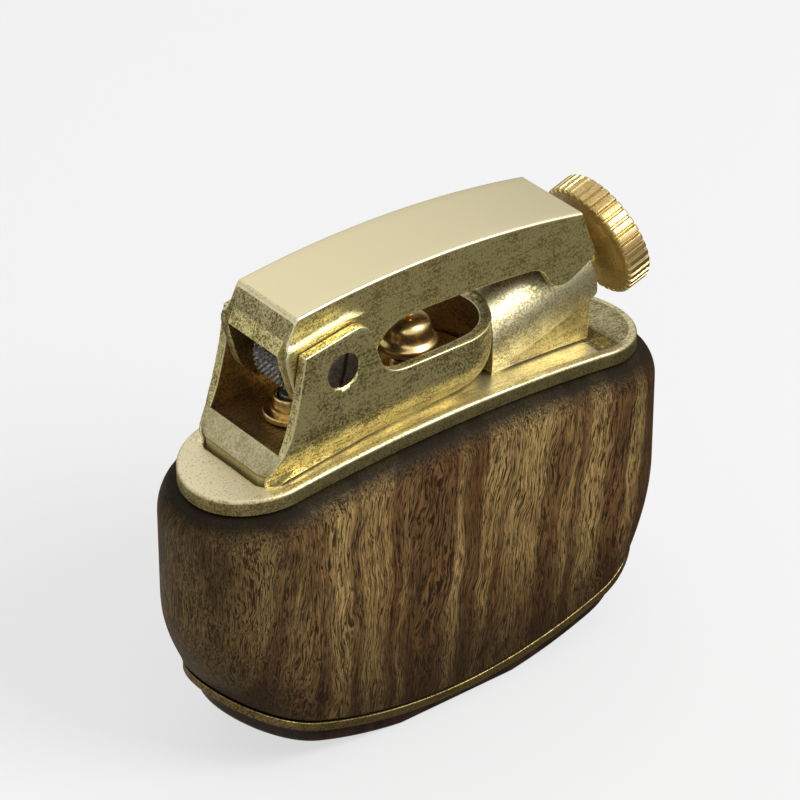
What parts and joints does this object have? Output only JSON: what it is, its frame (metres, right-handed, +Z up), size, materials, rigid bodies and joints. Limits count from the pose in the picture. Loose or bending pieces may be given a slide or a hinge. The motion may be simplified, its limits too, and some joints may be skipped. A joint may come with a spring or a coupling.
{
  "type": "petrol lighter",
  "caption": "Wood-bodied petrol lighter with a sprung brass lid arm, striker wheel, flint tube, wick and snuffer cap, and a knurled push knob at the rear.",
  "frame": {"origin": "centre of the small flat under the body, which it stands on", "axes": "+X along the body towards the push knob, +Y across the body, +Z up"},
  "size_m": [0.057, 0.018, 0.0504],
  "materials": {
    "wood": "polished",
    "dark_base": "polished",
    "cast_brass": "antiqued",
    "bright_brass": "satin",
    "gold_brass": "polished",
    "dark_steel": "blackened",
    "wheel_steel": "cut",
    "spring_steel": "bright",
    "cotton": "matte",
    "rubber": "matte",
    "flint": "matte"
  },
  "bodies": {
    "body": {"wood_shell": "wood", "base_plate": "bright_brass", "base_inlay": "dark_base", "fuel_tank": "bright_brass", "wadding": "cotton", "filler_washer": "rubber", "deck_plate": "bright_brass", "frame": "cast_brass", "flint_tube": "gold_brass", "flint": "flint", "flint_spring": "spring_steel", "wick_tube": "bright_brass", "wick": "cotton", "pivot_screw": "dark_steel", "lid_spring": "spring_steel", "barrel": "bright_brass", "spring_plug": "bright_brass", "return_spring": "spring_steel"},
    "lid_arm": {"lid": "bright_brass", "snuffer_cap": "gold_brass", "snuffer_stem": "gold_brass", "pawl": "spring_steel"},
    "wheel": {"striker_wheel": "wheel_steel", "ratchet_disc": "spring_steel"},
    "plunger": {"knob": "gold_brass", "push_rod": "spring_steel", "latch": "spring_steel"},
    "filler_plug": {"filler_screw": "bright_brass"},
    "flint_plug": {"flint_screw": "bright_brass"}
  },
  "joints": [
    {"name": "lid_hinge", "type": "hinge", "parent": "body", "child": "lid_arm", "pos_m": [-0.0132, 0, 0.0432], "axis": [0, -1, 0], "range_deg": [0, 70], "deforming": ["lid_spring"]},
    {"name": "wheel_spin", "type": "hinge", "parent": "body", "child": "wheel", "pos_m": [-0.0132, 0, 0.0432], "axis": [0, -1, 0], "range_deg": [0, 70]},
    {"name": "knob_press", "type": "slide", "parent": "body", "child": "plunger", "axis": [-0.9511, 0, -0.309], "range_m": [0, 0.0015], "stiffness_N_per_m": 600, "springref_m": -0.001, "deforming": ["return_spring"]},
    {"name": "filler_turn", "type": "hinge", "parent": "body", "child": "filler_plug", "pos_m": [0.012, 0, 0.0022], "axis": [0, 0, -1], "continuous": true},
    {"name": "flint_screw_turn", "type": "hinge", "parent": "body", "child": "flint_plug", "pos_m": [-0.0146, 0, 0.003], "axis": [0, 0, -1], "continuous": true}
  ],
  "couplings": [
    {"joint": "wheel_spin", "follows": "lid_hinge", "ratio": 1}
  ]
}
